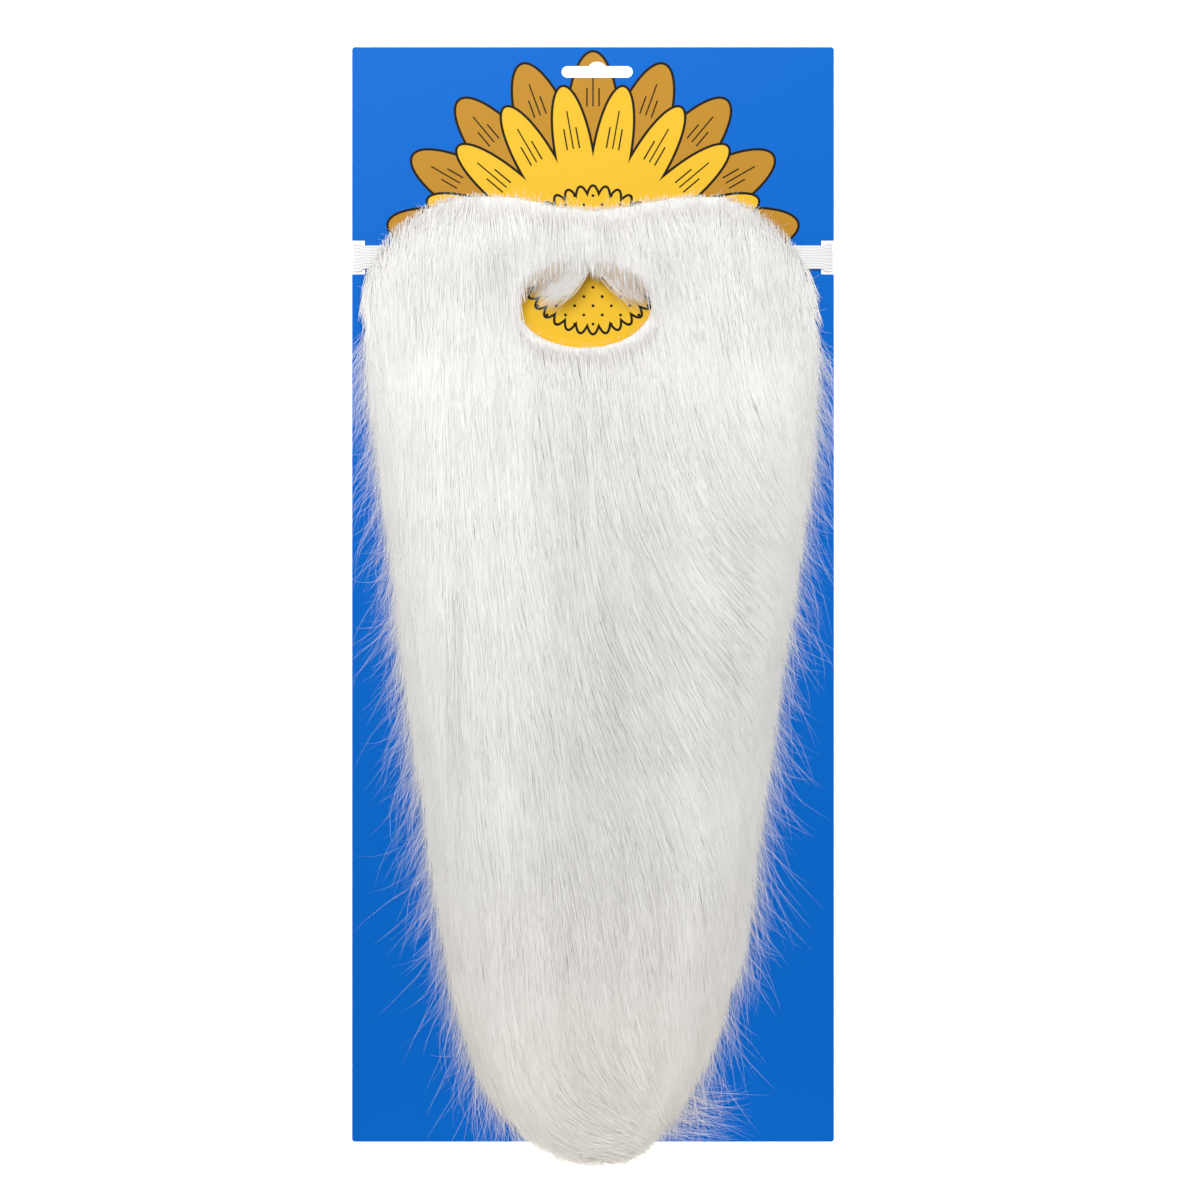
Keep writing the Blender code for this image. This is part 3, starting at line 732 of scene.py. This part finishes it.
# How a kind of hair lies. Its calm is the share of its unevenness that is left at the beard's top
Look = namedtuple("Look", "sink lift_low lift_high width_low width_high tone_spread roll sag calm")
PILE_LOOK = Look(2.2 * MM, -0.3 * MM, 0.8 * MM, 0.20 * MM, 0.34 * MM, 0.13, 12, 0.0, 0.40)
MOUSTACHE_LOOK = Look(1.8 * MM, -0.6 * MM, 0.7 * MM, 0.08 * MM, 0.17 * MM, 0.20, 20, 2.0 * MM, 1.0)
LOOSE_LOOK = Look(1.0 * MM, 0.2 * MM, 1.8 * MM, 0.045 * MM, 0.095 * MM, 0.05, 20, 0.0, 1.0)
FUZZ_LOOK = Look(0.6 * MM, 0.0 * MM, 0.8 * MM, 0.05 * MM, 0.10 * MM, 0.05, 20, 0.0, 1.0)
TONE = 0.63
# Painted light that makes the strands lighter towards the beard's sides, less so at its top
SIDE_PAINTED_LIGHT = 0.36
SIDE_PAINTED_LIGHT_FULL = 0.7
SIDE_PAINTED_LIGHT_DOWN = 0.2
# Painted light that makes the strands lighter near the outline
EDGE_PAINTED_LIGHT = 0.12
LIFT_HEIGHT = 0.25 * MM
LEAST_SINK = 0.3 * MM
SINK_SLOPE = 0.7
# Where the calm at the beard's top ends, and over what length, as shares of the beard's length
CALM_END = 0.10
CALM_FADE = 0.25


def lay_strands(name, paths, look, finish):
    """Strands over the relief, from a sunk root to a lifted middle and a lower tip."""
    xs, ys = paths
    count, rings = xs.shape
    edge = -relief.read(relief.outside, xs[:, 0], ys[:, 0])
    sink = np.minimum(look.sink, LEAST_SINK + np.maximum(edge, 0) * SINK_SLOPE)
    lift = chance.uniform(look.lift_low, look.lift_high, count)
    down = (BEARD_HIGH.y - ys[:, 0]) / BEARD_LENGTH
    strength = look.calm + (1 - look.calm) * ease((down - CALM_END) / CALM_FADE)
    lift = lift + LIFT_HEIGHT * strength * relief.read(LIFT_WAVE, xs[:, 0], ys[:, 0])
    sunk = along_strand(rings, SINK_SHARES)
    raised = along_strand(rings, LIFT_SHARES)
    sagging = np.linspace(0, 1, rings) ** 2 * look.sag
    z = relief.read(relief.top, xs, ys) - sink[:, None] * sunk + lift[:, None] * raised - sagging
    z = np.maximum(z, CARD_HIGH.z + CARD_CLEARANCE + chance.uniform(0, 0.5, (count, 1)) * MM)
    across = np.abs(relief.across(xs[:, 0], ys[:, 0]))
    # Painted light towards the sides, below the beard's top
    tone = TONE + SIDE_PAINTED_LIGHT * ease(across / SIDE_PAINTED_LIGHT_FULL) * ease(down / SIDE_PAINTED_LIGHT_DOWN)
    tone = tone + look.tone_spread * strength * chance.standard_normal(count)
    for amount, wave in TONE_WAVES:
        tone = tone + amount * strength * relief.read(wave, xs[:, 0], ys[:, 0])
    # Painted light near the outline
    tone = tone + EDGE_PAINTED_LIGHT * relief.side_nearness(xs[:, 0], ys[:, 0])
    width = chance.uniform(look.width_low, look.width_high, count)
    roll = np.radians(chance.normal(0, look.roll, count)) * strength
    strand_mesh(name, np.stack([xs, ys, z], axis=2), width, tone, roll, finish)


# The combed pile, in bands down the beard, given as shares of its length

Band = namedtuple("Band", "name start end count length_low length_high")
PILE_BANDS = (
    Band("pile_at_the_lip", -0.01, 0.17, 19000, 0.016, 0.034),
    Band("pile_at_the_cheeks", 0.13, 0.36, 20000, 0.030, 0.048),
    Band("pile_at_the_chin", 0.33, 0.58, 20000, 0.034, 0.054),
    Band("pile_below_the_chin", 0.55, 0.80, 18000, 0.034, 0.054),
    Band("pile_at_the_tip", 0.77, 1.00, 14000, 0.026, 0.046),
)
PILE_STEPS = 3
PILE_SPREAD = 2.6
EDGE_SPREAD = 6
# How far roots may stand past the outline above the mouth's middle and below it
TOP_OVERHANG = 1.0 * MM
LOW_OVERHANG = -0.4 * MM
ROOTS_CLEAR = 1.05
LEAST_LENGTH = 2.5 * MM
CUT_STEPS = 16
FREE_STEPS = 5
# How many mm tips hang over the outline
OVERHANG = 0.5
OVERHANG_SPREAD = 1.6
MOST_OVERHANG = 2.7
# How far in tips stop at the opening's rim, as shares of half its size
RIM_STOP = 1.02
RIM_SPREAD = 0.10


def pile_roots(band):
    """Places spread evenly over a band of the beard, clear of the mouth opening."""
    x, y = np.empty(0), np.empty(0)
    while len(x) < band.count:
        new_x = chance.uniform(BEARD_LOW.x, BEARD_HIGH.x, 2 * band.count)
        new_y = BEARD_HIGH.y - BEARD_LENGTH * chance.uniform(band.start, band.end, 2 * band.count)
        rim = np.where(new_y > MOUTH_Y, TOP_OVERHANG, LOW_OVERHANG)
        kept = relief.read(relief.outside, new_x, new_y) < rim
        kept &= mouth_distance(new_x, new_y) > ROOTS_CLEAR
        x, y = np.append(x, new_x[kept]), np.append(y, new_y[kept])
    return x[: band.count], y[: band.count]


def cut_lengths(x, y, length, extra):
    """Lengths cut so that no tip goes more than a little way over the mouth opening or the outline."""
    xs, ys = combed_paths(x, y, length, extra, CUT_STEPS)
    overhang = np.minimum(chance.normal(OVERHANG, OVERHANG_SPREAD, (len(x), 1)), MOST_OVERHANG) * MM
    rim = RIM_STOP - chance.uniform(0.0, 1.0, (len(x), 1)) ** 3 * RIM_SPREAD
    beyond = (mouth_distance(xs, ys) < rim) | (relief.read(relief.outside, xs, ys) > overhang)
    # Above the mouth's middle a strand may start past the outline
    beyond[:, :FREE_STEPS] &= (ys[:, :FREE_STEPS] < MOUTH_Y)
    left = np.where(beyond.any(axis=1), beyond.argmax(axis=1), CUT_STEPS) / CUT_STEPS
    return np.where(left < 1, np.maximum(left * length, LEAST_LENGTH), length)


def pile_band(band, finish):
    x, y = pile_roots(band)
    extra = chance.normal(0, 1, band.count) * (PILE_SPREAD + EDGE_SPREAD * relief.side_nearness(x, y))
    length = chance.uniform(band.length_low, band.length_high, band.count)
    length = cut_lengths(x, y, length, extra)
    lay_strands(band.name, combed_paths(x, y, length, extra, PILE_STEPS), PILE_LOOK, finish)


# The moustache hair that hangs over the opening, in tufts along the opening's upper rim. A tuft's
# place across and its spread are shares of half the opening's width

Tuft = namedtuple("Tuft", "across spread lean length count")
TUFTS = (
    Tuft(-0.84, 0.08, -14, 0.0060, 46),
    Tuft(-0.60, 0.09, -30, 0.0110, 60),
    Tuft(-0.28, 0.06, -42, 0.0165, 120),
    Tuft(-0.01, 0.085, -48, 0.0225, 900),
    Tuft(0.18, 0.07, 4, 0.0050, 120),
    Tuft(0.31, 0.11, 50, 0.0215, 330),
    Tuft(0.52, 0.10, 40, 0.0150, 110),
    Tuft(0.82, 0.08, 16, 0.0070, 50),
)
MOST_SPREAD = 1.6
RIM_END = 0.97
# How many mm over the opening's rim the roots stand
ROOT_RISES = (-0.5, 7.0)
LENGTH_SHARES = (0.65, 1.15)
ROOT_LENGTH = 4 * MM
# A tuft's lean is shared between its hairs' heading at the root and their bend
HEADING_SHARE = 0.55
HEADING_SPREAD = 6
BEND_SHARE = 0.7
TUFT_BEND_SPREAD = 10
GATHERING = 5


def moustache(finish):
    paths = []
    for tuft in TUFTS:
        place = np.clip(chance.normal(0, 1, tuft.count), -MOST_SPREAD, MOST_SPREAD)
        across = np.clip(tuft.across + place * tuft.spread, -RIM_END, RIM_END)
        x = MOUTH_OFFSET + across * MOUTH_WIDTH / 2
        y = MOUTH_Y + np.sqrt(1 - across**2) * MOUTH_HEIGHT / 2 + chance.uniform(*ROOT_RISES, tuft.count) * MM
        length = tuft.length * chance.uniform(*LENGTH_SHARES, tuft.count) + ROOT_LENGTH
        heading = HEADING_SHARE * tuft.lean + chance.normal(0, HEADING_SPREAD, tuft.count)
        bend = BEND_SHARE * tuft.lean - GATHERING * place + chance.normal(0, TUFT_BEND_SPREAD, tuft.count)
        paths.append(loose_paths(x, y, length, heading, bend))
    xs, ys = (np.concatenate([path[axis] for path in paths]) for axis in (0, 1))
    lay_strands("moustache_over_the_opening", (xs, ys), MOUSTACHE_LOOK, finish)


# Loose hair round the outline

SideHair = namedtuple("SideHair", "name count shortest longest lean lean_spread bend")
SIDE_HAIRS = (
    SideHair("combed_fringe", 11500, 8 * MM, 30 * MM, 15, 12, 0),
    SideHair("long_flyaways", 1500, 24 * MM, 50 * MM, 30, 12, -20),
)
BEND_SPREAD = 28
# Where the side hair starts and how far it goes down the beard, as shares of the beard's length
SIDE_START = 0.13
SIDE_SPAN = 0.82
# How many mm inside the outline the side hair has its roots
SIDE_ROOTS = (-0.5, 8)
# How far loose hair may reach past the beard's tip and past the card's sides
PAST_TIP = 4 * MM
PAST_CARD = 0.5 * MM
# Where along Y the spray at the tip has its roots, in mm
TIP_SPRAY_PLACE = (-228, -208)
TIP_SPRAY = 190
TOP_FUZZ = 1000
TOP_FUZZ_TURN = (-4, 184)
TOP_FUZZ_DROP = 45 * MM
MOUTH_FUZZ = 160


def within_card(paths):
    """The paths, held to the card's width and a little over."""
    xs, ys = paths
    return np.clip(xs, CARD_LOW.x - PAST_CARD, CARD_HIGH.x + PAST_CARD), ys


def side_hairs(hair, finish):
    """Fine hairs that lean out over the card from the beard's two sides."""
    count = hair.count
    side = np.where(chance.random(count) < 0.5, -1, 1)
    y = BEARD_HIGH.y - (SIDE_START + SIDE_SPAN * chance.random(count)) * BEARD_LENGTH
    x = relief.side(side, y) - side * chance.uniform(*SIDE_ROOTS, count) * MM
    length = chance.uniform(hair.shortest, hair.longest, count)
    length = np.minimum(length, y - BEARD_LOW.y + PAST_TIP)
    outward = np.maximum(chance.normal(hair.lean, hair.lean_spread, count), 0)
    bend = side * chance.normal(hair.bend, BEND_SPREAD, count)
    paths = loose_paths(x, y, length, relief.side_lean(x, y) + side * outward, bend)
    lay_strands(hair.name, within_card(paths), LOOSE_LOOK, finish)


def top_fuzz(finish):
    """Short fuzz that stands out of the beard's top edge and shoulders."""
    turn = np.radians(chance.uniform(*TOP_FUZZ_TURN, TOP_FUZZ))
    middle_y = BEARD_HIGH.y - TOP_FUZZ_DROP
    reach = np.linspace(0.02, 0.14, 600)
    px, py = reach * np.cos(turn)[:, None], middle_y + reach * np.sin(turn)[:, None]
    covered = relief.read(relief.outside, px, py) < 0
    rim = reach[np.where(covered, np.arange(len(reach)), 0).max(axis=1)]
    rim = rim - chance.uniform(0.5, 3, TOP_FUZZ) * MM
    x, y = rim * np.cos(turn), middle_y + rim * np.sin(turn)
    heading = 90 + np.degrees(turn) + chance.normal(0, 26, TOP_FUZZ)
    length = chance.gamma(2.5, 0.8, TOP_FUZZ) * MM + 1.2 * MM
    paths = loose_paths(x, y, length, heading, chance.normal(0, 40, TOP_FUZZ))
    lay_strands("fuzz_along_the_top_edge", within_card(paths), FUZZ_LOOK, finish)


def mouth_fuzz(finish):
    """Short fuzz round the opening's rim, over its edge."""
    turn = np.radians(chance.uniform(0, 360, MOUTH_FUZZ))
    x = MOUTH_OFFSET + np.cos(turn) * (MOUTH_WIDTH / 2 + 0.6 * MM)
    y = MOUTH_Y + np.sin(turn) * (MOUTH_HEIGHT / 2 + 0.6 * MM)
    heading = np.degrees(turn) - 90 + chance.normal(0, 30, MOUTH_FUZZ)
    length = chance.uniform(0.7, 2.0, MOUTH_FUZZ) * MM
    paths = loose_paths(x, y, length, heading, chance.normal(0, 40, MOUTH_FUZZ))
    lay_strands("fuzz_round_the_mouth_opening", paths, FUZZ_LOOK, finish)


def tip_spray(finish):
    """Hairs swept out to the right of the beard's tip."""
    y = chance.uniform(*TIP_SPRAY_PLACE, TIP_SPRAY) * MM
    x = relief.side(1, y) - chance.uniform(0, 8, TIP_SPRAY) * MM
    length = chance.uniform(10, 40, TIP_SPRAY) * MM
    heading = chance.normal(66, 12, TIP_SPRAY)
    paths = loose_paths(x, y, length, heading, chance.normal(16, 16, TIP_SPRAY))
    lay_strands("hairs_swept_from_the_tip", within_card(paths), LOOSE_LOOK, finish)


# The elastic

RIBS = 9
RIB_HEIGHT = 0.16 * MM
RIB_STEPS = 6
TURN_STEPS = 16
FLARE = 0.27
FLARE_LENGTH = 1.6 * MM


def band_line():
    """The middle of the elastic in X and Z, from its left end under the beard round the card's back."""
    back_z = BAND_LOW.z + BAND_THICKNESS / 2
    front_z = BAND_HIGH.z - BAND_THICKNESS / 2
    turn_x = CARD_HIGH.x - NOTCH_DEPTH + GAP
    bulge = BAND_HIGH.x - BAND_THICKNESS / 2 - turn_x
    level, reach = (front_z + back_z) / 2, (front_z - back_z) / 2
    turns = [math.pi * i / TURN_STEPS for i in range(TURN_STEPS + 1)]
    left = [(-turn_x - bulge * math.sin(a), level + reach * math.cos(a)) for a in turns]
    right = [(-x, z) for x, z in reversed(left)]
    band_y = (BAND_LOW.y + BAND_HIGH.y) / 2
    ends = [float(relief.side(side, band_y)) for side in (-1, 1)]
    return [(ends[0] + BAND_TUCK, front_z), *left, *right, (ends[1] - BAND_TUCK, front_z)]


def band_section():
    """The elastic's section: (across, out, painted groove shade) round it, with ribs on both faces."""
    count = RIBS * RIB_STEPS
    face = []
    for i in range(count + 1):
        rib = abs(math.sin(math.pi * i / RIB_STEPS))
        face.append((BAND_WIDTH * (i / count - 0.5), BAND_THICKNESS / 2 - RIB_HEIGHT * (1 - rib), 1 - rib))
    back = [(across, -out, painted_groove_shade) for across, out, painted_groove_shade in reversed(face)]
    return face + back


def elastic(finish):
    """The elastic along its line, flared where it bunches up round the card's notches."""
    line, section = band_line(), band_section()
    last, around = len(line) - 1, len(section)
    flare_start = CARD_HIGH.x - NOTCH_DEPTH + GAP
    band_y = (BAND_LOW.y + BAND_HIGH.y) / 2
    points, painted_groove_shades = [], []
    for i, (x, z) in enumerate(line):
        ahead, behind = line[min(last, i + 1)], line[max(0, i - 1)]
        along = Vector((ahead[0] - behind[0], ahead[1] - behind[1])).normalized()
        flare = 1 + FLARE * float(ease((abs(x) - flare_start) / FLARE_LENGTH))
        for across, out, painted_groove_shade in section:
            points.append((x - along.y * out, band_y + across * flare, z + along.x * out))
            painted_groove_shades.append(painted_groove_shade)
    faces = [tuple(range(around)), tuple(last * around + i for i in reversed(range(around)))]
    for i in range(last):
        for c in range(around):
            a, b = i * around + c, i * around + (c + 1) % around
            faces.append((a, a + around, b + around, b))
    mesh = bpy.data.meshes.new("woven_elastic")
    mesh.from_pydata(points, [], faces)
    mesh.polygons.foreach_set("use_smooth", np.ones(len(mesh.polygons), bool))
    # The share of painted shade in the ribs' grooves, for the elastic's material
    write_attribute(mesh, "painted_groove_shade", painted_groove_shades)
    mesh.materials.append(finish)
    made = bpy.data.objects.new("woven_elastic", mesh)
    bpy.context.scene.collection.objects.link(made)
    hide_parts("elastic_band")
    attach(made, "root")


# The studio

Softbox = namedtuple("Softbox", "name place aim size power")
SOFTBOXES = (
    Softbox("softbox_top", (-0.16, 0.62, 0.70), (0, 0.10, 0), (0.8, 0.5), 6.5),
    Softbox("softbox_left", (-0.85, 0.34, 0.62), (0, 0.08, 0), (0.5, 0.9), 3.2),
    Softbox("softbox_right", (0.85, 0.26, 0.62), (0, 0.04, 0), (0.5, 0.9), 3.85),
    Softbox("softbox_foot", (0.02, -0.55, 0.16), (0, -0.24, 0), (0.5, 0.15), 1.0),
)
AIR_LIGHT = 0.165
FLOOR_REACH = 3.0


def studio_floor():
    reach = FLOOR_REACH
    corners = [(-reach, -reach, 0), (reach, -reach, 0), (reach, reach, 0), (-reach, reach, 0)]
    mesh = bpy.data.meshes.new("studio_floor")
    mesh.from_pydata(corners, [], [(0, 1, 2, 3)])
    mesh.materials.append(floor_finish())
    made = bpy.data.objects.new("studio_floor", mesh)
    bpy.context.scene.collection.objects.link(made)


def studio_lights():
    for box in SOFTBOXES:
        light = bpy.data.lights.new(box.name, "AREA")
        light.shape = "RECTANGLE"
        light.size, light.size_y = box.size
        light.energy = box.power
        made = bpy.data.objects.new(box.name, light)
        bpy.context.scene.collection.objects.link(made)
        made.location = box.place
        made.rotation_euler = (Vector(box.aim) - Vector(box.place)).to_track_quat("-Z", "Y").to_euler()
    world = bpy.data.worlds.new("studio_air")
    world.use_nodes = True
    background = world.node_tree.nodes["Background"]
    background.inputs["Color"].default_value = (1.0, 1.0, 1.0, 1.0)
    background.inputs["Strength"].default_value = AIR_LIGHT
    bpy.context.scene.world = world
    bpy.context.scene.view_settings.view_transform = "Standard"


def camera():
    lens = bpy.data.cameras.new("camera")
    lens.lens = CAMERA_LENS
    lens.sensor_width = CAMERA_SENSOR
    lens.clip_end = 20
    made = bpy.data.objects.new("camera", lens)
    bpy.context.scene.collection.objects.link(made)
    distance = PHOTO_SIZE * PHOTO_PIXEL * CAMERA_LENS / CAMERA_SENSOR
    made.location = (CAMERA_X, CAMERA_Y, CARD_HIGH.z + distance)
    bpy.context.scene.camera = made


camera()
studio_floor()
studio_lights()
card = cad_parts["display_card"].data
card.materials.clear()
card.materials.append(card_finish())
elastic(elastic_finish())
pile = pile_finish("combed_white_pile", PILE_ROOTS_PAINTED_SHADE)
for band in PILE_BANDS:
    pile_band(band, pile)
moustache(pile_finish("moustache_hair", MOUSTACHE_ROOTS_PAINTED_SHADE))
for hair in SIDE_HAIRS:
    side_hairs(hair, pile)
tip_spray(pile)
top_fuzz(pile)
mouth_fuzz(pile)
